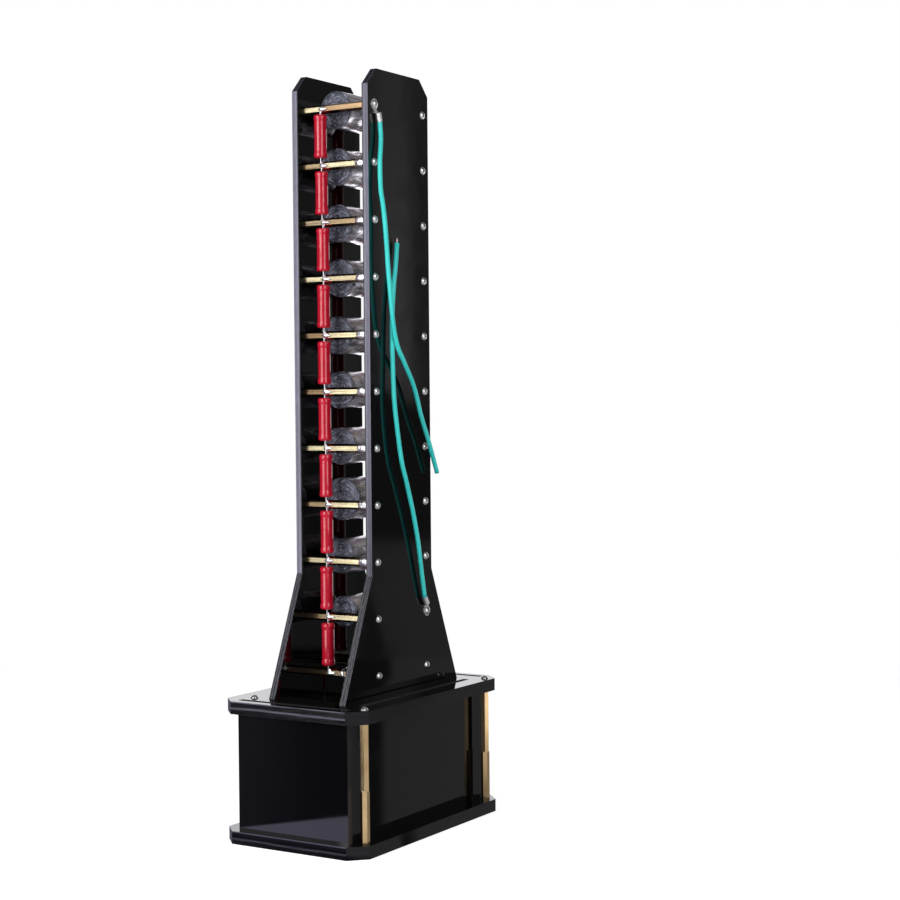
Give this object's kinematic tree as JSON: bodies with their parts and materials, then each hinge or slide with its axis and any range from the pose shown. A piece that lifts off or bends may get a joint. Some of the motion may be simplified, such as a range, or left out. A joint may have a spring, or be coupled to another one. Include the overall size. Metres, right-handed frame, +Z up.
{
  "type": "marx generator",
  "caption": "Desktop Marx generator with a black acrylic tower of brass rods, wound capacitors and red resistors on a black box base, with two turquoise output leads.",
  "frame": {"origin": "middle of the base plate's underside, where the object stands", "axes": "+Z up, front of the tower towards -Y, the panel that carries the output leads towards +X"},
  "size_m": [0.12, 0.191, 0.5403],
  "materials": {
    "black_acrylic": "polished black acrylic sheet with laser-cut edges that look grey and finely streaked",
    "brass": "drawn hexagonal brass bar, bright, lightly oiled",
    "steel_screw": "nickel-plated steel, bright",
    "clear_tape": "silvery film roll under clear tape, with dark grey wound ends",
    "red_lacquer": "thick glossy crimson lacquer",
    "tinned_wire": "tinned copper wire",
    "solder": "bright hand-made solder",
    "tinned_lug": "tinned pressed copper",
    "lead_insulation": "smooth turquoise insulation with a soft sheen",
    "copper_strand": "bare stranded copper",
    "case_plastic": "fine-grained black moulded plastic",
    "potting": "poured black resin with a level glossy top",
    "terminal_plastic": "green moulded plastic",
    "wire_insulation": "red silicone insulation"
  },
  "bodies": {
    "root": {"base_plate": "black_acrylic", "top_plate": "black_acrylic", "front_wall": "black_acrylic", "rear_wall": "black_acrylic", "side_wall": "black_acrylic", "lower_posts": "brass", "upper_posts": "brass", "base_screws": "steel_screw", "top_plate_screws": "steel_screw", "left_panel": "black_acrylic", "right_panel": "black_acrylic", "front_rods": "brass", "rear_rods": "brass", "left_panel_screws": "steel_screw", "right_panel_screws": "steel_screw", "capacitor_01": "clear_tape", "capacitor_02": "clear_tape", "capacitor_03": "clear_tape", "capacitor_04": "clear_tape", "capacitor_05": "clear_tape", "capacitor_06": "clear_tape", "capacitor_07": "clear_tape", "capacitor_08": "clear_tape", "capacitor_09": "clear_tape", "capacitor_10": "clear_tape", "front_resistor_01": "red_lacquer", "front_resistor_02": "red_lacquer", "front_resistor_03": "red_lacquer", "front_resistor_04": "red_lacquer", "front_resistor_05": "red_lacquer", "front_resistor_06": "red_lacquer", "front_resistor_07": "red_lacquer", "front_resistor_08": "red_lacquer", "front_resistor_09": "red_lacquer", "front_resistor_10": "red_lacquer", "rear_resistor_01": "red_lacquer", "rear_resistor_02": "red_lacquer", "rear_resistor_03": "red_lacquer", "rear_resistor_04": "red_lacquer", "rear_resistor_05": "red_lacquer", "rear_resistor_06": "red_lacquer", "rear_resistor_07": "red_lacquer", "rear_resistor_08": "red_lacquer", "rear_resistor_09": "red_lacquer", "rear_resistor_10": "red_lacquer", "capacitor_leads": "tinned_wire", "resistor_leads": "tinned_wire", "spark_electrodes": "tinned_wire", "solder_joints": "solder", "upper_ring_lug": "tinned_lug", "lower_ring_lug": "tinned_lug", "upper_lead": "lead_insulation", "lower_lead": "lead_insulation", "lead_strands": "copper_strand", "supply_case": "case_plastic", "supply_potting": "potting", "supply_terminal": "terminal_plastic", "supply_wires": "wire_insulation", "supply_wire_ends": "tinned_wire"}
  },
  "joints": []
}
